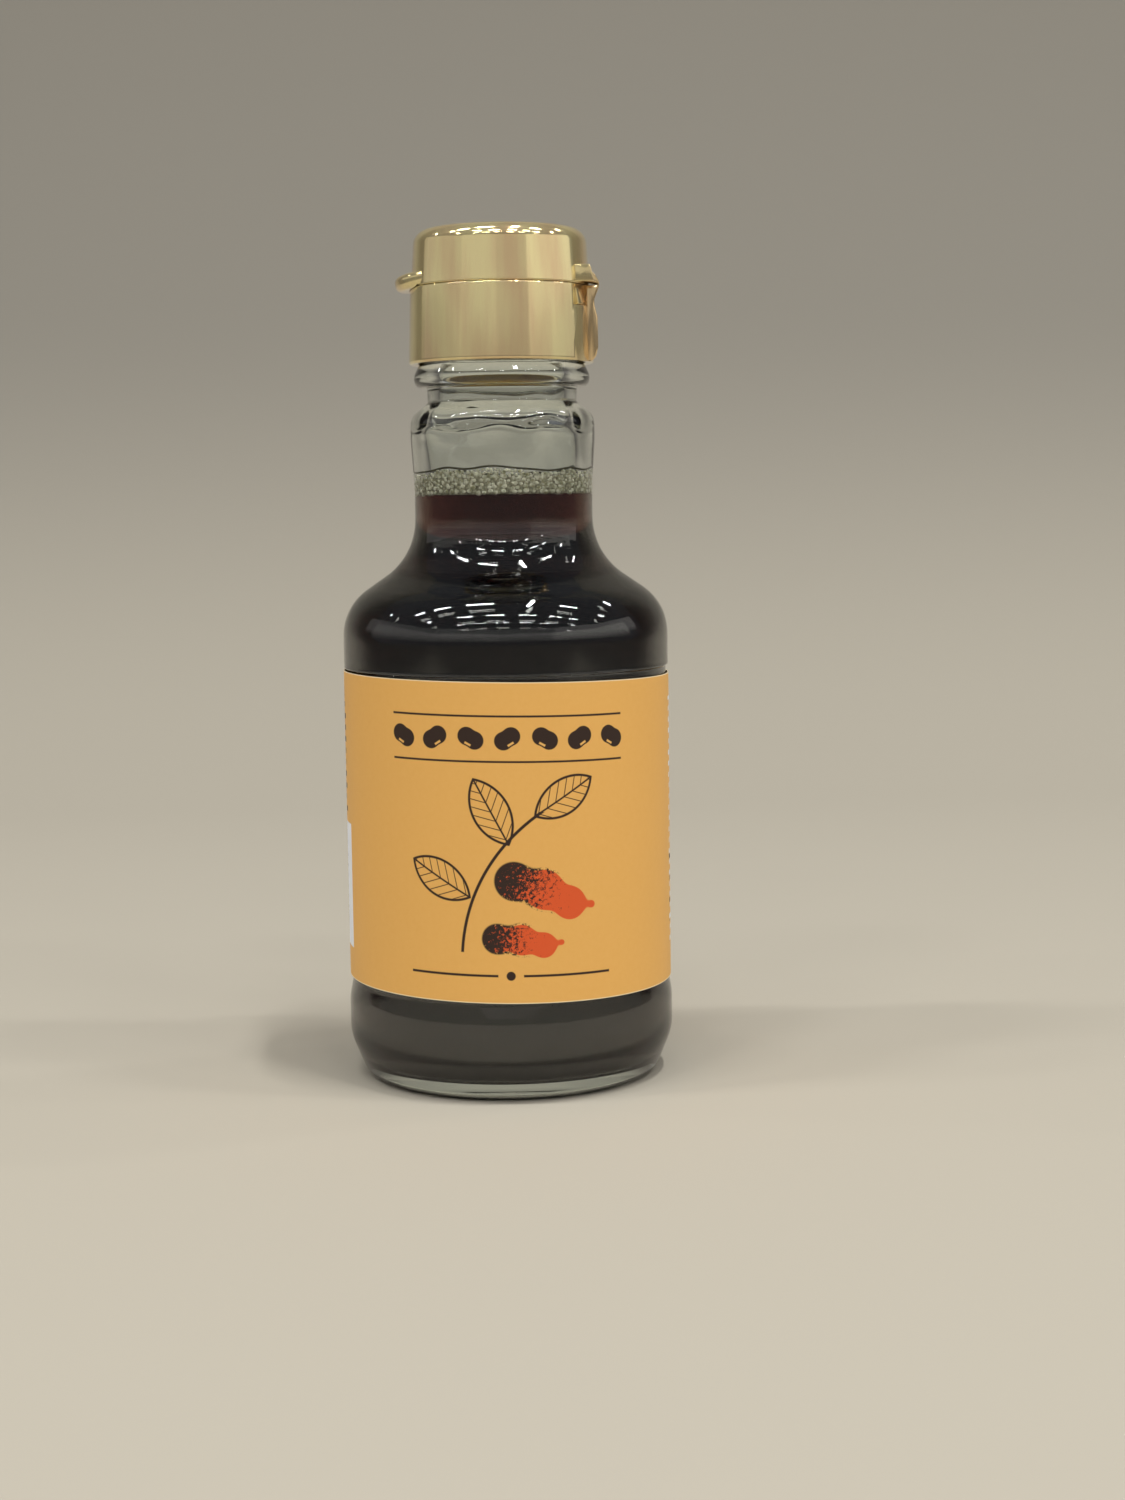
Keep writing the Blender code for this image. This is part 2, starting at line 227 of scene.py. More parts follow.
def newMaterial(name, settings):
    material = bpy.data.materials.new(name)
    material.use_nodes = True
    tree = material.node_tree
    shader = tree.nodes["Principled BSDF"]
    for key, value in settings.items():
        shader.inputs[key].default_value = value
    return material, tree, shader


# bottle glass

glassSize = {
    "bodyR": 28.2, "panelR": 27.55, "shoulderR": 27.95, "neckR": 15.25, "bulbR": 15.75,
    "grooveR": 12.8, "beadR": 15.05, "finishR": 13.2, "lockR": 13.9, "contactR": 24.1,
    "punt": 1.4, "heelZ": 7.2, "panelLow": 16.2, "panelHigh": 70.8, "shoulderZ": 81.2, "neckZ": 89.9,
    "waistZ": 101.4, "bulbZ": 109.2, "grooveLow": 115.6, "grooveHigh": 118.2, "beadZ": 119.9,
    "beadTop": 121.95, "lockLow": 125.6, "lockHigh": 127.5,
    "floorZ": 3.4, "floorDome": 0.9, "cavityR": 25.1, "boreR": 12.3, "mouthR": 10.7,
    "taperLow": 110.8, "taperHigh": 115.9,
    "ripple": 0.24, "rippleMost": 0.34, "rippleLowZ": 104.6, "rippleMostZ": 112.2, "rippleHighZ": 116,
}


def cavityCorners(grow):
    # inside of the glass from its mouth down to the middle of its floor, moved out by grow
    size = glassSize
    mouthZ = bottleTop.z / mm
    corners = [
        (size["mouthR"] + grow, mouthZ, 0),
        (size["mouthR"] + grow, size["taperHigh"], 0.6),
        (size["boreR"] + 0.3 + grow, size["taperLow"], 3.0),
        (size["boreR"] - 0.15 + grow, size["neckZ"] - 1.3, 12),
        (size["cavityR"] + grow, size["shoulderZ"] - 1.6, 7.5),
        (size["cavityR"] + grow, size["floorZ"] + 4.6 - grow, 6),
        (size["cavityR"] - 3.4 + grow, size["floorZ"] - grow, 3),
        (0, size["floorZ"] + size["floorDome"] - grow, 0),
    ]
    return toMetres(corners)


def rippleBore(piece):
    # the blown inside of the neck is uneven, most where the bore narrows
    size = glassSize
    lowZ, mostZ, highZ = size["rippleLowZ"], size["rippleMostZ"], size["rippleHighZ"]
    for vertex in piece.data.vertices:
        x, y, z = vertex.co / mm
        radius = math.hypot(x, y)
        if lowZ < z < highZ and radius < size["boreR"] + 0.6:
            angle = math.atan2(y, x)
            fade = min(1, (z - lowZ) / 3) * min(1, (highZ - z) / 1.5)
            near = max(0, 1 - abs(z - mostZ) / 3.5)
            wave = math.sin(3 * angle + 0.5 * z)
            wave += 0.7 * math.sin(7 * angle - 0.9 * z + 1)
            wave += 0.4 * math.sin(12 * angle + 2)
            depth = size["ripple"] + near * (size["rippleMost"] - size["ripple"])
            grow = 1 + fade * wave * depth / 2 / radius
            vertex.co.x *= grow
            vertex.co.y *= grow
            vertex.co.z += fade * near * 0.25 * wave * mm


def makeBottleGlass(material):
    size = glassSize
    mouthZ = bottleTop.z / mm
    outside = [
        (size["mouthR"] + 0.2, mouthZ, 0),
        (size["finishR"], mouthZ, 0.8),
        (size["finishR"], size["lockHigh"] + 0.7, 0.3),
        (size["lockR"], size["lockHigh"], 0.3),
        (size["lockR"], size["lockLow"], 0.3),
        (size["finishR"], size["lockLow"] - 0.7, 0.3),
        (size["finishR"], size["beadTop"] + 0.2, 0.2),
        (size["beadR"] - 0.9, size["beadTop"] + 0.1, 0.9),
        (size["beadR"] + 0.05, size["beadZ"], 1.9),
        (size["beadR"] - 0.4, size["grooveHigh"] - 0.1, 1.2),
        (size["grooveR"], size["grooveHigh"], 0.45),
        (size["grooveR"] - 0.1, size["grooveLow"], 0.6),
        (size["bulbR"], size["grooveLow"] - 2.3, 3.0),
        (size["bulbR"], size["bulbZ"], 8),
        (size["neckR"], size["waistZ"], 12),
        (size["neckR"], size["neckZ"], 11.8),
        (size["shoulderR"], size["shoulderZ"], 9.7),
        (size["shoulderR"], size["panelHigh"], 0.4),
        (size["panelR"], size["panelHigh"] - 0.3, 0.4),
        (size["panelR"], size["panelLow"] + 0.6, 3),
        (size["bodyR"], size["panelLow"] - 2.6, 9),
        (size["bodyR"], size["heelZ"], 9),
        (size["contactR"] + 1.6, 1.0, 1.8),
        (size["contactR"], 0, 0.4),
        (size["contactR"] - 1.8, 0, 0.5),
        (size["contactR"] - 3.6, 0.7, 0.8),
        (0, size["punt"], 0),
    ]
    inside = roundedOutline(cavityCorners(0))[::-1]
    piece = turnOutline("bottleGlass", inside + roundedOutline(toMetres(outside)), sides=144)
    rippleBore(piece)
    return finishPiece(piece, "bottle", material, 60, ("glass_bottle",))


def makeGlassMaterial():
    # clear soda-lime glass blown in a mould: a little uneven, and faintly green where it is thick
    look = {
        "face": "#f7faf6", "ior": 1.52, "tint": "#c4d6c6", "density": 8, "waveSize": 9, "waveDepth": 0.009,
    }
    material, tree, shader = newMaterial("sodaLimeGlassBlown", {
        "Base Color": toLinear(look["face"]), "Roughness": 0.0,
        "IOR": look["ior"], "Transmission Weight": 1,
    })
    coords = addNode(tree, "ShaderNodeTexCoord", {})
    waves = addNode(tree, "ShaderNodeTexNoise", {
        "Scale": 1 / (look["waveSize"] * mm), "Detail": 1.5, "Vector": coords.outputs["Object"],
    })
    bump = addNode(tree, "ShaderNodeBump", {
        "Strength": 0.6, "Distance": look["waveDepth"] * mm, "Height": waves.outputs["Fac"],
    })
    tree.links.new(bump.outputs["Normal"], shader.inputs["Normal"])
    absorb = addNode(tree, "ShaderNodeVolumeAbsorption", {
        "Color": toLinear(look["tint"]), "Density": look["density"],
    })
    output = tree.nodes["Material Output"]
    tree.links.new(absorb.outputs["Volume"], output.inputs["Volume"])
    return material


# soy sauce

def makeSauce(material):
    # fills the glass and reaches just into its wall, with an edge that is drawn up the neck
    size = {"intoWall": 0.25, "riseAtWall": 0.35, "riseReach": 1.2}
    level = sauceTop.z / mm
    wall = [corner for corner in cavityCorners(size["intoWall"]) if corner[1] < sauceTop.z]
    edgeR = glassSize["boreR"] + 0.05 + size["intoWall"]
    top = [
        (0, level, 0),
        (edgeR - size["riseReach"], level, 0.8),
        (edgeR, level + size["riseAtWall"], 0),
    ]
    piece = turnOutline("soySauce", roundedOutline(toMetres(top) + wall), sides=128)
    return finishPiece(piece, "bottle", material, 50, ("soy_sauce",))


def makeSauceMaterial():
    # brewed soy sauce: red-brown where thin, black where the bottle is wide
    look = {"ior": 1.38, "thin": (0.665, 0.42, 0.3, 1), "density": 400}
    material, tree = newMaterial("brewedSoySauce", {
        "Base Color": toLinear("#ffffff"), "Roughness": 0.0,
        "IOR": look["ior"], "Transmission Weight": 1,
    })[:2]
    absorb = addNode(tree, "ShaderNodeVolumeAbsorption", {
        "Color": look["thin"], "Density": look["density"],
    })
    tree.links.new(absorb.outputs["Volume"], tree.nodes["Material Output"].inputs["Volume"])
    return material


# foam on the sauce

def filmHeight(angle):
    # how high the foam once stood on the glass, in mm
    height = 104.4
    for depth, waves, start in ((0.28, 3, 1), (0.17, 7, 0), (0.1, 11, 2)):
        height += depth * math.sin(waves * angle + start)
    return height


def makeFoam(coreMaterial, bubbleMaterial):
    # a core with wet bubbles pressed into the glass round it, smaller higher up, and more on its top
    size = {
        "low": 100.05, "high": 104.1, "wallR": 12.75, "coreR": 12.5, "coreHigh": 103.2,
        "large": 0.6, "small": 0.25, "besideStep": 1.9, "upStep": 1.35, "topCount": 300,
    }
    corners = [
        (0, size["coreHigh"] - 0.4, 0), (size["coreR"] - 2, size["coreHigh"] - 0.4, 0),
        (size["coreR"], size["coreHigh"], 0.4), (size["coreR"], size["low"], 0), (0, size["low"], 0),
    ]
    core = turnOutline("foamCore", roundedOutline(toMetres(corners), 0.03 * mm), sides=96)
    finishPiece(core, "bottle", coreMaterial, 60, ("foam",))

    draw = random.Random(11)
    spots = []
    z = size["low"] - 0.1
    while z < size["high"]:
        share = (z - size["low"]) / (size["high"] - size["low"])
        middleR = size["large"] + (size["small"] - size["large"]) * share
        count = round(math.tau * size["wallR"] / (size["besideStep"] * middleR))
        for index in range(count):
            radius = middleR * draw.uniform(0.65, 1.2)
            angle = math.tau * (index + draw.uniform(-0.35, 0.35)) / count
            height = z + radius + draw.uniform(-0.2, 0.2)
            if height + radius < filmHeight(angle) - 0.05:
                spots.append((size["wallR"] - radius - draw.uniform(0, 0.08), angle, height, radius))
        z += size["upStep"] * middleR
    goldenAngle = 2.39996
    for index in range(size["topCount"]):
        radius = draw.uniform(0.3, 0.7)
        distance = (size["coreR"] - 0.8) * math.sqrt((index + 0.5) / size["topCount"])
        height = size["coreHigh"] - 0.45 + draw.uniform(0, 0.3)
        spots.append((distance, index * goldenAngle, height, radius))

    deselectAll()
    bpy.ops.mesh.primitive_ico_sphere_add(subdivisions=2, radius=1)
    first = nameNewPiece("foamBubbles")
    bpy.ops.object.shade_smooth()
    shape = first.data.copy()
    # the first bubble is hidden inside the core, and the others are joined to it
    first.data.transform(Matrix.Translation((0, 0, 102 * mm)) @ Matrix.Scale(0.3 * mm, 4))
    others = []
    for distance, angle, height, radius in spots:
        mesh = shape.copy()
        turn = Matrix.Rotation(draw.uniform(0, math.tau), 4, draw.choice("XYZ"))
        squash = Matrix.Diagonal((radius, radius, radius * draw.uniform(0.75, 1.0), 1))
        place = Vector((distance * math.cos(angle), distance * math.sin(angle), height))
        mesh.transform(Matrix.Translation(place * mm) @ squash @ turn @ Matrix.Scale(mm, 4))
        bubble = bpy.data.objects.new("bubble", mesh)
        bpy.context.scene.collection.objects.link(bubble)
        others.append(bubble)
    bubbles = joinPieces(first, others)
    return finishPiece(bubbles, "bottle", bubbleMaterial, 80)


def makeFoamMaterials():
    # drained froth: dark wet seams, and pale glossy bubble skins that catch the lights
    look = {
        "cell": 0.45, "cellMiddle": "#c9c5a8", "cellSeam": "#5d5640",
        "patch": 0.8, "skinThin": "#a7a27e", "skinThick": "#f6f3de",
    }
    core, tree, shader = newMaterial("wetFrothSeams", {"Roughness": 0.25, "IOR": 1.38})
    coords = addNode(tree, "ShaderNodeTexCoord", {})
    cells = addNode(tree, "ShaderNodeTexVoronoi", {
        "Scale": 1 / (look["cell"] * mm), "Vector": coords.outputs["Object"],
    })
    tones = addNode(tree, "ShaderNodeValToRGB", {"Fac": cells.outputs["Distance"]})
    tones.color_ramp.elements[0].color = toLinear(look["cellMiddle"])
    tones.color_ramp.elements[1].color = toLinear(look["cellSeam"])
    tree.links.new(tones.outputs["Color"], shader.inputs["Base Color"])

    bubble, tree, shader = newMaterial("drainedBubbleSkins", {
        "Roughness": 0.08, "IOR": 1.45, "Coat Weight": 1, "Coat Roughness": 0.03,
    })
    coords = addNode(tree, "ShaderNodeTexCoord", {})
    film = addNode(tree, "ShaderNodeTexNoise", {
        "Scale": 1 / (look["patch"] * mm), "Vector": coords.outputs["Object"],
    })
    tones = addNode(tree, "ShaderNodeValToRGB", {"Fac": film.outputs["Fac"]})
    tones.color_ramp.elements[0].position = 0.35
    tones.color_ramp.elements[0].color = toLinear(look["skinThin"])
    tones.color_ramp.elements[1].position = 0.62
    tones.color_ramp.elements[1].color = toLinear(look["skinThick"])
    tree.links.new(tones.outputs["Color"], shader.inputs["Base Color"])
    return core, bubble


def makeFilmMaterial():
    # the dried edge of sauce film, thin and brown-olive
    return newMaterial("driedSauceFilm", {
        "Base Color": toLinear("#4a4634"), "Roughness": 0.2, "IOR": 1.45,
    })[0]


def makeFilmLine(material):
    # the edge of the film that the sauce left on the glass, a wavy line over the foam
    size = {"radius": 12.42, "thickness": 0.17}
    deselectAll()
    bpy.ops.mesh.primitive_torus_add(
        major_segments=240, minor_segments=8, major_radius=size["radius"] * mm,
        minor_radius=size["thickness"] * mm, location=(0, 0, 0),
    )
    piece = nameNewPiece("filmLine")
    for vertex in piece.data.vertices:
        angle = math.atan2(vertex.co.y, vertex.co.x)
        vertex.co.z += filmHeight(angle) * mm
    return finishPiece(piece, "bottle", material, 80)


# label

labelSize = {
    "radius": 28.0, "thickness": 0.12, "low": 17.15, "high": 69.87, "slope": -0.02, "gap": 6.0,
}


def makeLabel(material):
    size = labelSize
    height = size["high"] - size["low"]
    deselectAll()
    bpy.ops.mesh.primitive_cylinder_add(
        vertices=360, radius=(size["radius"] - size["thickness"]) * mm, depth=height * mm,
        end_fill_type="NOTHING", location=(0, 0, (size["low"] + height / 2) * mm),
    )
    piece = nameNewPiece("labelPaper")
    startEditing(piece)
    halfGap = size["gap"] / 2 * mm
    selectFaces(piece, lambda centre: centre.y > 0 and abs(centre.x) < halfGap)
    bpy.ops.mesh.delete(type="FACE")
    bpy.ops.mesh.select_all(action="SELECT")
    bpy.ops.mesh.subdivide(number_cuts=1)
    bpy.ops.object.mode_set(mode="OBJECT")
    for vertex in piece.data.vertices:  # glued on a little askew, right side lower
        vertex.co.z += size["slope"] * vertex.co.x
    applyModifier(piece, "SOLIDIFY", {"thickness": size["thickness"] * mm, "offset": 1})
    return finishPiece(piece, "bottle", material, 40, ("label",))


def makeLabelMaterial():
    # uncoated label stock, offset printed: flat inks with a fine tooth
    ink = {
        "ground": "#eab565", "groundDeep": "#e4ab59", "red": "#dd5a2c",
        "dark": "#35261f", "white": "#eef1f6", "cream": "#f5dfb6",
    }
    material, tree, shader = newMaterial("offsetPrintedLabelPaper", {
        "Roughness": 0.5, "IOR": 1.45, "Specular IOR Level": 0.3,
    })
    coords = addNode(tree, "ShaderNodeTexCoord", {})
    axes = addNode(tree, "ShaderNodeSeparateXYZ", {0: coords.outputs["Object"]})
    back = addNode(tree, "ShaderNodeMath", {"operation": "MULTIPLY", 0: axes.outputs["Y"], 1: -1})
    around = addNode(tree, "ShaderNodeMath", {
        "operation": "ARCTAN2", 0: axes.outputs["X"], 1: back.outputs[0],
    })
    across = addNode(tree, "ShaderNodeMath", {
        "operation": "MULTIPLY", 0: around.outputs[0], 1: labelSize["radius"],
    })
    lean = addNode(tree, "ShaderNodeMath", {
        "operation": "MULTIPLY_ADD", 0: axes.outputs["X"], 1: -labelSize["slope"], 2: axes.outputs["Z"],
    })
    up = addNode(tree, "ShaderNodeMath", {
        "operation": "MULTIPLY_ADD", 0: lean.outputs[0], 1: 1000, 2: -labelSize["low"],
    })
    # the flat sheet in mm: X runs round the bottle from its front, Y up from the label's foot
    sheet = addNode(tree, "ShaderNodeCombineXYZ", {
        "X": across.outputs[0], "Y": up.outputs[0],
    }).outputs[0]
    height = labelSize["high"] - labelSize["low"]

    def layer(below, above, distance, soft=0.06):
        # lays a colour over another where the signed distance in mm is below zero
        mask = addNode(tree, "ShaderNodeMapRange", {
            "From Min": -soft, "From Max": soft, "To Min": 1, "To Max": 0, "Value": distance,
        })
        return addNode(tree, "ShaderNodeMix", {
            "data_type": "RGBA", 0: mask.outputs[0], 6: below, 7: toLinear(above),
        }).outputs[2]

    def turned(centre, degrees):
        # the sheet's measures as seen from a spot on it, turned
        moved = addNode(tree, "ShaderNodeVectorMath", {
            "operation": "SUBTRACT", 0: sheet, 1: (*centre, 0),
        })
        return addNode(tree, "ShaderNodeVectorRotate", {
            "rotation_type": "Z_AXIS", "Angle": math.radians(-degrees), "Vector": moved.outputs[0],
        }).outputs[0]

    def circle(place, centre, radius):
        reach = addNode(tree, "ShaderNodeVectorMath", {
            "operation": "DISTANCE", 0: place, 1: (*centre, 0),
        })
        return addNode(tree, "ShaderNodeMath", {
            "operation": "SUBTRACT", 0: reach.outputs["Value"], 1: radius,
        }).outputs[0]

    def rectangle(place, centre, halfWidth, halfHeight):
        moved = addNode(tree, "ShaderNodeVectorMath", {
            "operation": "SUBTRACT", 0: place, 1: (*centre, 0),
        })
        size = addNode(tree, "ShaderNodeVectorMath", {"operation": "ABSOLUTE", 0: moved.outputs[0]})
        over = addNode(tree, "ShaderNodeVectorMath", {
            "operation": "SUBTRACT", 0: size.outputs[0], 1: (halfWidth, halfHeight, 0),
        })
        parts = addNode(tree, "ShaderNodeSeparateXYZ", {0: over.outputs[0]})
        return addNode(tree, "ShaderNodeMath", {
            "operation": "MAXIMUM", 0: parts.outputs["X"], 1: parts.outputs["Y"],
        }).outputs[0]

    def merged(shapes, operation="MINIMUM", blend=0):
        # one shape out of several; with MAXIMUM, only where they all overlap
        whole = shapes[0]
        for shape in shapes[1:]:
            step = addNode(tree, "ShaderNodeMath", {
                "operation": operation, 0: whole, 1: shape, 2: blend,
            })
            whole = step.outputs[0]
        return whole

    def rimOf(shape, halfWidth):
        size = addNode(tree, "ShaderNodeMath", {"operation": "ABSOLUTE", 0: shape})
        return addNode(tree, "ShaderNodeMath", {
            "operation": "SUBTRACT", 0: size.outputs[0], 1: halfWidth,
        }).outputs[0]

    def pod(centre, degrees, grow):
        # three beans in one soft hull with a pointed tip
        place = turned(centre, degrees)
        beans = []
        for x, y, radius in ((-4.3, -0.4, 2.45), (0, 0.2, 2.75), (4.1, -0.1, 2.3), (7.3, 0.9, 0.4)):
            beans.append(circle(place, (x * grow, y * grow), radius * grow))
        return merged(beans, "SMOOTH_MIN", 2.6 * grow), place

    def leaf(centre, degrees, length, width):
        # two arcs that meet at both tips
        place = turned(centre, degrees)
        bow = (length ** 2 / 4 - width ** 2 / 4) / width
        radius = bow + width / 2
        arcs = [circle(place, (0, -bow), radius), circle(place, (0, bow), radius)]
        return merged(arcs, "MAXIMUM"), place

    grain = addNode(tree, "ShaderNodeTexNoise", {
        "Scale": 0.9, "Detail": 6, "Roughness": 0.7, "Vector": sheet,
    })
    colour = addNode(tree, "ShaderNodeMix", {
        "data_type": "RGBA", 0: grain.outputs["Fac"],
        6: toLinear(ink["ground"]), 7: toLinear(ink["groundDeep"]),
    }).outputs[2]

    # a row of dark beans between two rules
    beanRow = {"count": 7, "apart": 6.1, "height": 43.5}
    for number in range(beanRow["count"]):
        centre = (beanRow["apart"] * (number - beanRow["count"] // 2), beanRow["height"])
        place = turned(centre, 32 if number % 2 else -28)
        ends = [circle(place, (0.75, 0.1), 1.5), circle(place, (-0.75, 0.1), 1.5)]
        bean = merged(ends, "SMOOTH_MIN", 0.8)
        colour = layer(colour, ink["dark"], bean)
        colour = layer(colour, ink["ground"], rectangle(place, (0, -0.95), 0.55, 0.17))
    curve = rimOf(circle(sheet, (21.95, 6.55), 30), 0.25)
    stem = merged([curve, rectangle(sheet, (-1, 20), 9, 11.6)], "MAXIMUM")
    marks = merged([
        rectangle(sheet, (0, 47.2), 20.4, 0.17), rectangle(sheet, (0, 39.8), 20.4, 0.17),
        rectangle(sheet, (-9.7, 4.6), 7.6, 0.2), rectangle(sheet, (9.7, 4.6), 7.6, 0.2),
        circle(sheet, (0, 4.6), 0.75), stem,
    ])
    colour = layer(colour, ink["dark"], marks)

    # leaves with veins on the stem
    leaves = (
        ((9.2, 34.0), 32, 11.5, 5.6), ((-2.9, 31.6), 118, 12.0, 6.0), ((-11.6, 20.4), 150, 11.5, 5.8),
    )
    for centre, degrees, length, width in leaves:
        shape, place = leaf(centre, degrees, length, width)
        parts = addNode(tree, "ShaderNodeSeparateXYZ", {0: place})
        side = addNode(tree, "ShaderNodeMath", {"operation": "ABSOLUTE", 0: parts.outputs["Y"]})
        rib = addNode(tree, "ShaderNodeMath", {"operation": "SUBTRACT", 0: side.outputs[0], 1: 0.15})
        slant = addNode(tree, "ShaderNodeMath", {
            "operation": "MULTIPLY_ADD", 0: side.outputs[0], 1: -0.9, 2: parts.outputs["X"],
        })
        repeat = addNode(tree, "ShaderNodeMath", {
            "operation": "PINGPONG", 0: slant.outputs[0], 1: 0.85,
        })
        veins = addNode(tree, "ShaderNodeMath", {
            "operation": "SUBTRACT", 0: repeat.outputs[0], 1: 0.1,
        })
        lines = merged([merged([rib.outputs[0], veins.outputs[0]]), shape], "MAXIMUM")
        colour = layer(colour, ink["dark"], merged([lines, rimOf(shape, 0.2)]))

    # two hanging pods, dry-brushed with dark ink on their left
    splash = addNode(tree, "ShaderNodeTexNoise", {
        "Scale": 1.5, "Detail": 8, "Roughness": 0.8, "Vector": sheet,
    })
    for centre, degrees, grow in (((5.6, 18.6), -24, 1.2), ((1.8, 10.4), -10, 0.92)):
        shape, place = pod(centre, degrees, grow)
        colour = layer(colour, ink["red"], shape)
        parts = addNode(tree, "ShaderNodeSeparateXYZ", {0: place})
        shade = addNode(tree, "ShaderNodeMath", {
            "operation": "MULTIPLY_ADD", 0: parts.outputs["X"], 1: 0.026 / grow, 2: splash.outputs["Fac"],
        })
        brushed = addNode(tree, "ShaderNodeMath", {
            "operation": "SUBTRACT", 0: shade.outputs[0], 1: 0.46,
        })
        wide = addNode(tree, "ShaderNodeMath", {"operation": "MULTIPLY", 0: brushed.outputs[0], 1: 8})
        spread = addNode(tree, "ShaderNodeMath", {"operation": "SUBTRACT", 0: shape, 1: 0.3})
        strokes = merged([wide.outputs[0], spread.outputs[0]], "MAXIMUM")
        colour = layer(colour, ink["dark"], strokes, 0.12)

    def smallPrint(centre, halfWidth, halfHeight, spacing, stroke):
        # rows of short dashes where the fine print would be
        row = addNode(tree, "ShaderNodeMath", {"operation": "DIVIDE", 0: up.outputs[0], 1: spacing})
        rowNumber = addNode(tree, "ShaderNodeMath", {"operation": "FLOOR", 0: row.outputs[0]})
        rowPlace = addNode(tree, "ShaderNodeMath", {"operation": "FRACT", 0: row.outputs[0]})
        middle = addNode(tree, "ShaderNodeMath", {
            "operation": "SUBTRACT", 0: rowPlace.outputs[0], 1: 0.5,
        })
        line = addNode(tree, "ShaderNodeMath", {
            "operation": "MULTIPLY", 0: middle.outputs[0], 1: spacing,
        })
        apart = addNode(tree, "ShaderNodeMath", {
            "operation": "MULTIPLY", 0: rowNumber.outputs[0], 1: 7.3,
        })
        seed = addNode(tree, "ShaderNodeCombineXYZ", {"X": across.outputs[0], "Y": apart.outputs[0]})
        noise = addNode(tree, "ShaderNodeTexNoise", {
            "Scale": 0.9, "Detail": 0, "Vector": seed.outputs[0],
        })
        gaps = addNode(tree, "ShaderNodeMath", {
            "operation": "SUBTRACT", 0: 0.45, 1: noise.outputs["Fac"],
        })
        field = rectangle(sheet, centre, halfWidth, halfHeight)
        return merged([rimOf(line.outputs[0], stroke), gaps.outputs[0], field], "MAXIMUM")

    colour = layer(colour, ink["white"], rectangle(sheet, (-51.0, 16.1), 14.9, 10.7))
    colour = layer(colour, ink["dark"], smallPrint((-52.6, 17.0), 11.5, 8.4, 1.8, 0.28))
    colour = layer(colour, ink["dark"], smallPrint((-53.6, 38.6), 14.5, 10, 2.0, 0.45))
    colour = layer(colour, ink["white"], smallPrint((55.0, 27.2), 16.0, 21.5, 1.9, 0.42))
    colour = layer(colour, ink["dark"], smallPrint((55.0, 16.0), 16.0, 6.5, 3.8, 0.4))
    colour = layer(colour, ink["cream"], rimOf(rectangle(sheet, (0, height / 2), 90, height / 2), 0.14))
    tree.links.new(colour, shader.inputs["Base Color"])

    tooth = addNode(tree, "ShaderNodeTexNoise", {
        "Scale": 1 / (0.25 * mm), "Detail": 3, "Vector": coords.outputs["Object"],
    })
    bump = addNode(tree, "ShaderNodeBump", {
        "Strength": 0.25, "Distance": 0.02 * mm, "Height": tooth.outputs["Fac"],
    })
    tree.links.new(bump.outputs["Normal"], shader.inputs["Normal"])
    return material


# cap

capSize = {
    "footR": 15.8, "seamR": 15.37, "lidR": 15.2, "lidShoulderR": 14.6, "wall": 1.3,
    "skirtBoreR": 14.3, "spoutR": 10.4, "lipR": 11.2, "spoutZ": 141.4, "plugZ": 121.4,
    "flangeR": 12.6, "flangeT": 0.7, "sealT": 0.8, "gap": 0.3, "nearer": 0.1,
    "hingeX": 16.7, "hingeHalf": 5.2, "pocketAngle": 29.5, "pocketHalf": 2.6, "pocketZ": 131.3,
}


def makeCapInsert(material):
    # the pouring spout on a flange, with a plug that reaches down into the bottle's mouth
    size = capSize
    boreR = size["spoutR"] - 1.1
    plugR = glassSize["mouthR"] - size["gap"]
    underZ = bottleTop.z / mm + size["gap"]
    flangeZ = underZ + size["flangeT"]
    corners = [
        (0, underZ + size["sealT"], 0),
        (boreR, underZ + size["sealT"], 0.4),
        (boreR, size["spoutZ"] - 1.6, 1.2),
        (size["lipR"] - 0.7, size["spoutZ"], 0.3),
        (size["lipR"], size["spoutZ"] - 0.3, 0.3),
        (size["spoutR"], size["spoutZ"] - 2.2, 1.0),
        (size["spoutR"], flangeZ, 0.3),
        (size["flangeR"], flangeZ, 0.2),
        (size["flangeR"], underZ, 0.2),
        (plugR, underZ, 0.2),
        (plugR, size["plugZ"] + 0.8, 0.5),
        (plugR - 0.4, size["plugZ"], 0.2),
        (boreR, size["plugZ"], 0.2),
        (boreR, underZ, 0.4),
        (0, underZ, 0),
    ]
    piece = turnOutline("capInsert", roundedOutline(toMetres(corners)), sides=112)
    return finishPiece(piece, "bottle", material, 40, ("cap_insert",))


def prism(name, outline, halfWidth, bevel):
    # a flat outline in X and Z pulled out along Y, with soft edges
    deselectAll()
    bpy.ops.mesh.primitive_circle_add(vertices=len(outline), radius=1, fill_type="NGON")
    piece = nameNewPiece(name)
    for vertex, (x, z) in zip(piece.data.vertices, outline):
        vertex.co = (x * mm, -halfWidth * mm, z * mm)
    startEditing(piece)
    bpy.ops.mesh.select_all(action="SELECT")
    bpy.ops.mesh.extrude_region_move(TRANSFORM_OT_translate={"value": (0, 2 * halfWidth * mm, 0)})
    bpy.ops.mesh.select_all(action="SELECT")
    bpy.ops.mesh.normals_make_consistent(inside=False)
    bpy.ops.object.mode_set(mode="OBJECT")
    applyModifier(piece, "BEVEL", {"width": bevel * mm, "segments": 3, "limit_method": "ANGLE"})
    return piece


def cutBox(piece, angle, low, high):
    # cuts out a block between two corners in mm, turned round the bottle's axis
    size = [(b - a) * mm for a, b in zip(low, high)]
    middle = [(a + b) / 2 * mm for a, b in zip(low, high)]
    deselectAll()
    bpy.ops.mesh.primitive_cube_add(size=1, location=middle, scale=size)
    block = nameNewPiece("cutBlock")
    block.data.transform(Matrix.Rotation(math.radians(angle), 4, "Z"))
    cutAway(piece, block)
    bpy.data.objects.remove(block, do_unlink=True)


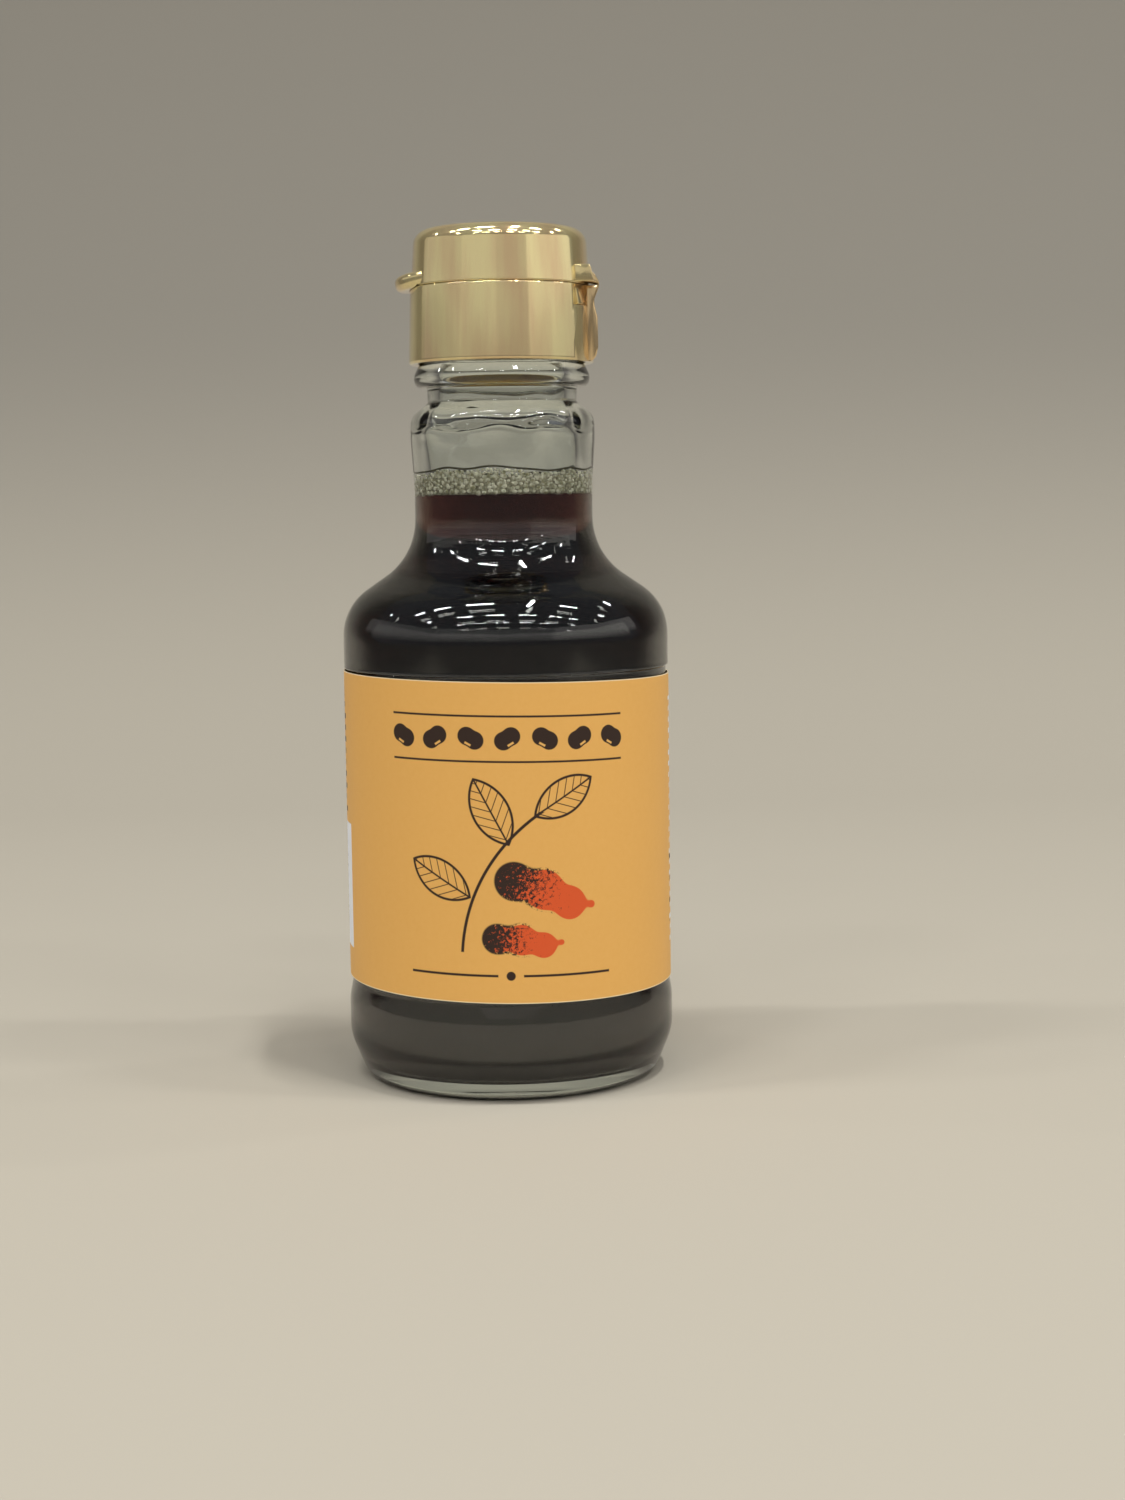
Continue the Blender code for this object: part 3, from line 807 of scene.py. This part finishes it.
def makeCapBase(material):
    # the skirt and the deck round the spout, with the hinge panel
    size = capSize
    deckZ = baseTop.z / mm
    footZ = baseFoot.z / mm
    underZ = bottleTop.z / mm + 2 * size["gap"] + size["flangeT"]
    holeR = size["spoutR"] + size["gap"]
    corners = [
        (holeR, deckZ + size["nearer"], 0),
        (size["seamR"], deckZ + size["nearer"], 0.2),
        (size["footR"], footZ + 0.4, 0.4),
        (size["footR"] - 0.2, footZ, 0.25),
        (size["skirtBoreR"], footZ, 0.2),
        (size["skirtBoreR"], underZ, 0.2),
        (holeR, underZ, 0.1),
    ]
    piece = turnOutline("capBase", roundedOutline(toMetres(corners)), sides=144, ring=True)

    # on both sides of the hinge panel: a pocket with a small wedge in it, and a flat below
    half, pocketZ = size["pocketHalf"], size["pocketZ"]
    wedgeOutline = [
        (14.5, pocketZ), (15.4, pocketZ + 0.2), (14.95, deckZ - 0.6), (14.5, deckZ - 0.4),
    ]
    extras = []
    for angle in (-size["pocketAngle"], size["pocketAngle"]):
        cutBox(piece, angle, (14.75, -half, pocketZ), (17, half, deckZ + 1))
        cutBox(piece, angle, (15.48, -half, footZ - 1), (17, half, pocketZ - 0.5))
        wedge = prism("pocketWedge", wedgeOutline, 0.9, 0.12)
        wedge.data.transform(Matrix.Rotation(math.radians(angle), 4, "Z"))
        extras.append(wedge)
    applyModifier(piece, "BEVEL", {
        "width": 0.09 * mm, "segments": 2, "limit_method": "ANGLE", "angle_limit": math.radians(40),
    })
    panelOutline = [
        (14.35, footZ + 0.1), (15.3, footZ + 0.1), (16.0, footZ + 0.9), (16.35, 124.5), (16.3, 129.5),
        (15.8, 131.5), (15.8, 132.5), (16.4, deckZ - 0.7), (16.45, deckZ), (14.35, deckZ),
    ]
    extras.append(prism("hingePanel", panelOutline, size["hingeHalf"] + 0.3, 0.3))
    joinPieces(piece, extras)
    return finishPiece(piece, "bottle", material, 38, ("cap_base",))


def makeCapLid(material):
    # a shallow shell, with the thumb tab on one side and the hinge lug on the other
    size = capSize
    footZ = baseTop.z / mm + size["gap"]
    topZ = lidTop.z / mm
    ceilingZ = topZ - size["wall"]
    corners = [
        (0, topZ, 0),
        (10.0, topZ - 0.3, 8),
        (size["lidShoulderR"], topZ - 0.55, 2.6),
        (size["lidR"], footZ - size["nearer"], 0.2),
        (size["lidR"] - size["wall"], footZ - size["nearer"], 0.1),
        (size["lidShoulderR"] - size["wall"], ceilingZ - 0.5, 1.4),
        (10.0, ceilingZ - 0.3, 8),
        (0, ceilingZ, 0),
    ]
    piece = turnOutline("capLid", roundedOutline(toMetres(corners)), sides=144)

    # thumb tab: a disc that droops outwards, cut back to the lid's wall
    tab = {"radius": 8.4, "thickness": 2.6, "droop": -9, "reach": 17.9, "lift": 1.85, "edge": 1.05}
    deselectAll()
    bpy.ops.mesh.primitive_cylinder_add(
        vertices=96, radius=tab["radius"] * mm, depth=tab["thickness"] * mm,
    )
    disc = nameNewPiece("thumbTab")
    applyModifier(disc, "BEVEL", {"width": tab["edge"] * mm, "segments": 6, "limit_method": "ANGLE"})
    seamZ = baseTop.z / mm + size["gap"] / 2
    middle = Vector((-tab["reach"] + tab["radius"] * 0.99, 0, seamZ + tab["lift"])) * mm
    droop = Matrix.Rotation(math.radians(tab["droop"]), 4, "Y")
    disc.data.transform(Matrix.Translation(middle) @ droop)
    clearR = size["seamR"] + 0.12
    coreCorners = [
        (0, topZ, 0), (14.2, topZ, 0), (14.5, footZ + 0.1, 0), (clearR, footZ + 0.1, 0),
        (clearR, baseFoot.z / mm, 0), (0, baseFoot.z / mm, 0),
    ]
    core = turnOutline("lidCore", roundedOutline(toMetres(coreCorners)), sides=144)
    cutAway(disc, core)

    # hinge lug: a wide low block, with the web's root on its middle
    low, high = footZ + 0.1, footZ + 2.95
    lugs = [
        prism("hingeLug", [
            (12.4, low), (15.7, low), (15.1, high - 0.3), (14.8, high), (12.4, high),
        ], 8.5, 0.22),
        prism("hingeWebRoot", [
            (13.6, low + 0.05), (16.45, low + 0.05), (16.55, low + 0.4), (16.0, low + 1.2),
            (15.2, high - 0.6), (13.6, high - 0.35),
        ], size["hingeHalf"], 0.15),
    ]
    for lug in lugs:
        cutAway(lug, core)
    bpy.data.objects.remove(core, do_unlink=True)
    joinPieces(piece, [disc] + lugs)
    return finishPiece(piece, "lid", material, 38, ("cap_lid",))


def makeHingeStrap(material):
    # the thin moulded web that bends when the lid opens
    size = capSize
    seamZ = baseTop.z / mm + size["gap"] / 2
    path = [
        (15.7, seamZ - 2.4), (16.25, seamZ - 1.3), (16.55, seamZ - 0.5), (16.65, seamZ),
        (16.55, seamZ + 0.6), (16.2, seamZ + 1.3), (15.8, seamZ + 1.9),
    ]
    outline = path + [(x - 0.35, z) for x, z in reversed(path)]
    piece = prism("hingeStrap", outline, size["hingeHalf"] - 0.3, 0.1)
    startEditing(piece)
    bpy.ops.mesh.select_all(action="SELECT")
    bpy.ops.mesh.bisect(plane_co=(0, 0, seamZ * mm), plane_no=(0, 0, 1))
    bpy.ops.object.mode_set(mode="OBJECT")
    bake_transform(piece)
    return finishPiece(piece, None, material, 38)


def makeGoldMaterial():
    # injection-moulded polypropylene with a gold pearl pigment, which flowed in soft upright bands
    look = {"tan": "#dcbf8f", "yellow": "#eadaa0", "band": 7, "streak": 0.9, "fleck": 0.1}
    material, tree, shader = newMaterial("goldPearlPolypropylene", {
        "Metallic": 0.75, "Roughness": 0.11, "IOR": 1.49, "Coat Weight": 0.6, "Coat Roughness": 0.04,
    })
    coords = addNode(tree, "ShaderNodeTexCoord", {})
    upright = addNode(tree, "ShaderNodeMapping", {
        "Scale": (1, 1, 0.3), "Vector": coords.outputs["Object"],
    })
    bands = addNode(tree, "ShaderNodeTexNoise", {
        "Scale": 1 / (look["band"] * mm), "Detail": 1, "Vector": upright.outputs["Vector"],
    })
    thin = addNode(tree, "ShaderNodeMapping", {
        "Scale": (1, 1, 0.07), "Vector": coords.outputs["Object"],
    })
    streaks = addNode(tree, "ShaderNodeTexNoise", {
        "Scale": 1 / (look["streak"] * mm), "Detail": 2, "Vector": thin.outputs["Vector"],
    })
    flecks = addNode(tree, "ShaderNodeTexNoise", {
        "Scale": 1 / (look["fleck"] * mm), "Detail": 1, "Vector": coords.outputs["Object"],
    })
    fine = addNode(tree, "ShaderNodeMath", {
        "operation": "ADD", 0: flecks.outputs["Fac"], 1: streaks.outputs["Fac"],
    })
    mixed = addNode(tree, "ShaderNodeMath", {
        "operation": "MULTIPLY_ADD", 0: fine.outputs[0], 1: 0.22, 2: bands.outputs["Fac"],
    })
    tones = addNode(tree, "ShaderNodeValToRGB", {"Fac": mixed.outputs[0]})
    tones.color_ramp.elements[0].position = 0.58
    tones.color_ramp.elements[0].color = toLinear(look["tan"])
    tones.color_ramp.elements[1].position = 0.85
    tones.color_ramp.elements[1].color = toLinear(look["yellow"])
    tree.links.new(tones.outputs["Color"], shader.inputs["Base Color"])
    bump = addNode(tree, "ShaderNodeBump", {
        "Strength": 0.15, "Distance": 0.02 * mm, "Height": streaks.outputs["Fac"],
    })
    tree.links.new(bump.outputs["Normal"], shader.inputs["Normal"])
    return material


# studio: paper sweep, ceiling tubes, camera

def makeStudio():
    # a wide sheet of paper: flat under the bottle, then a long curve up to the wall behind
    size = {"halfWidth": 2.2, "front": -2.2, "wallY": 0.82, "curve": 0.47, "top": 1.3}
    path = roundedOutline([
        (size["front"], 0, 0), (size["wallY"], 0, size["curve"]), (size["wallY"], size["top"], 0),
    ], 0.002)
    deselectAll()
    bpy.ops.mesh.primitive_plane_add(size=2 * size["halfWidth"])
    sheet = nameNewPiece("studioPaper")
    for vertex in sheet.data.vertices:
        vertex.co.y = path[0][0] if vertex.co.y < 0 else path[1][0]
    startEditing(sheet)
    bpy.ops.mesh.select_all(action="DESELECT")
    bpy.ops.object.mode_set(mode="OBJECT")
    for vertex in sheet.data.vertices:
        vertex.select = vertex.co.y > path[0][0] + 0.1
    bpy.ops.object.mode_set(mode="EDIT")
    bpy.ops.mesh.select_mode(type="EDGE")
    for (y0, z0), (y1, z1) in zip(path[1:], path[2:]):
        bpy.ops.mesh.extrude_region_move(TRANSFORM_OT_translate={"value": (0, y1 - y0, z1 - z0)})
    bpy.ops.object.mode_set(mode="OBJECT")
    bpy.ops.object.shade_smooth()
    sheet.data.materials.append(makePaperMaterial())


def makePaperMaterial():
    # warm grey paper with painted shade: darker up its curve, and darker far out in front and far to the
    # sides
    # the wall colour is painted shade up the curve, and the far colour is painted shade far out in front
    # and to the sides
    look = {"paper": "#a8a192", "wall": "#827d72", "paintedFarShade": "#4e4943"}
    material, tree, shader = newMaterial("paleStudioPaper", {"Roughness": 0.8})
    coords = addNode(tree, "ShaderNodeTexCoord", {})
    axes = addNode(tree, "ShaderNodeSeparateXYZ", {0: coords.outputs["Object"]})
    # painted shade: the paper turns to the wall colour up its curve
    height = addNode(tree, "ShaderNodeMapRange", {
        "interpolation_type": "SMOOTHSTEP",
        "From Min": -0.03, "From Max": 0.2, "Value": axes.outputs["Z"],
    })
    # painted shade far out in front and far to the sides
    depth = addNode(tree, "ShaderNodeMapRange", {
        "From Min": -0.3, "From Max": -0.8, "Value": axes.outputs["Y"],
    })
    aside = addNode(tree, "ShaderNodeMath", {"operation": "ABSOLUTE", 0: axes.outputs["X"]})
    side = addNode(tree, "ShaderNodeMapRange", {
        "From Min": 0.55, "From Max": 1.0, "Value": aside.outputs[0],
    })
    paintedFarShade = addNode(tree, "ShaderNodeMath", {
        "operation": "MAXIMUM", 0: depth.outputs[0], 1: side.outputs[0],
    })
    # lays the painted shade of the curve over the paper's colour
    paintedCurveShade = addNode(tree, "ShaderNodeMix", {
        "data_type": "RGBA", 0: height.outputs[0],
        6: toLinear(look["paper"]), 7: toLinear(look["wall"]),
    })
    # lays the painted shade far out over the paper
    tones = addNode(tree, "ShaderNodeMix", {
        "data_type": "RGBA", 0: paintedFarShade.outputs[0], 6: paintedCurveShade.outputs[2], 7: toLinear(look["paintedFarShade"]),
    })
    tree.links.new(tones.outputs[2], shader.inputs["Base Color"])
    return material


def addAreaLight(name, place, target, width, depth, power, colour="#ffffff"):
    data = bpy.data.lights.new(name, "AREA")
    data.shape = "RECTANGLE"
    data.size = width
    data.size_y = depth
    data.energy = power
    data.color = toLinear(colour)[:3]
    lamp = bpy.data.objects.new(name, data)
    lamp.location = place
    lamp.rotation_euler = (Vector(target) - Vector(place)).to_track_quat("-Z", "Y").to_euler()
    lamp.visible_camera = False
    bpy.context.scene.collection.objects.link(lamp)
    return lamp


def makeLights():
    # rows of ceiling tubes, sparser far out and with no tube right behind the bottle
    tube = {
        "length": 0.36, "width": 0.05, "height": 1.6, "perRow": 8, "apart": 0.64, "shift": 0.12,
        "near": 1.2, "stronger": 2.2,
    }
    for row, (y, power) in enumerate(((0.55, 4.0), (-0.3, 5.6), (-1.15, 4.0), (-2.0, 2.6))):
        for column in range(tube["perRow"]):
            x = (column - (tube["perRow"] - 1) / 2) * tube["apart"] + tube["shift"] * (row - 1)
            skipped = (row + column) % 2 if abs(x) > tube["near"] else row == 0
            if skipped:
                continue
            place = (x, y, tube["height"])
            name = f"ceilingTube{row}{column}"
            if (row, column) == (1, 4):  # in front on the right, one runs the other way
                strong = tube["stronger"] * power
                addAreaLight(name, place, (x, y, 0), tube["width"], tube["length"], strong)
            else:
                addAreaLight(name, place, (x, y, 0), tube["length"], tube["width"], power)

    # a ring of cards round the front, each with a dimmer band below
    card = {"distance": 1.2, "low": 0.225, "middle": 0.298, "high": 0.62, "dim": 0.5}
    for number, (middle, width, radiance) in enumerate((
        (-84, 66, 0.36), (-28, 46, 0.45), (15, 40, 0.37), (53, 36, 0.74), (88, 34, 0.74),
    )):
        angle = math.radians(middle)
        wide = 2 * card["distance"] * math.tan(math.radians(width / 2))
        bands = ((card["low"], card["middle"], card["dim"]), (card["middle"], card["high"], 1))
        for low, high, share in bands:
            middleZ = (low + high) / 2
            place = (card["distance"] * math.sin(angle), -card["distance"] * math.cos(angle), middleZ)
            power = math.pi * radiance * share * wide * (high - low)
            name = f"card{number}{'low' if share < 1 else 'high'}"
            addAreaLight(name, place, (0, 0, middleZ), wide, high - low, power, "#fbf8f2")

    # the pale air of the room
    world = bpy.data.worlds.new("studioAir")
    bpy.context.scene.world = world
    world.use_nodes = True
    air = world.node_tree.nodes["Background"]
    air.inputs["Color"].default_value = toLinear("#dcdfe6")
    air.inputs["Strength"].default_value = 0.17


def makeCamera():
    # the photograph's own viewpoint: near the bottle, at about the height of the sauce's level
    view = {
        "distance": 0.4015, "height": 0.0991, "pan": 1.36, "tilt": 6.16, "roll": -0.76,
        "lens": 55.78, "sensor": 36,
    }
    pan, tilt, roll = [math.radians(view[key]) for key in ("pan", "tilt", "roll")]
    level = math.cos(tilt)
    forward = Vector((math.sin(pan) * level, math.cos(pan) * level, -math.sin(tilt)))
    right = Vector((math.cos(pan), -math.sin(pan), 0))
    up = right.cross(forward)
    side = math.cos(roll) * right + math.sin(roll) * up
    top = math.cos(roll) * up - math.sin(roll) * right
    data = bpy.data.cameras.new("photoCamera")
    data.lens = view["lens"]
    data.sensor_width = view["sensor"]
    camera = bpy.data.objects.new("photoCamera", data)
    axes = Matrix((side, top, -forward)).transposed().to_4x4()
    camera.matrix_world = Matrix.Translation((0, -view["distance"], view["height"])) @ axes
    data.clip_start = 0.01
    bpy.context.scene.collection.objects.link(camera)
    bpy.context.scene.camera = camera


makeBottleGlass(makeGlassMaterial())
makeSauce(makeSauceMaterial())
frothMaterial, bubbleMaterial = makeFoamMaterials()
makeFoam(frothMaterial, bubbleMaterial)
makeFilmLine(makeFilmMaterial())
makeLabel(makeLabelMaterial())
goldMaterial = makeGoldMaterial()
makeCapInsert(goldMaterial)
makeCapBase(goldMaterial)
makeCapLid(goldMaterial)
makeHingeStrap(goldMaterial)
makeStudio()
makeLights()
makeCamera()
bpy.context.scene.view_settings.view_transform = "Standard"
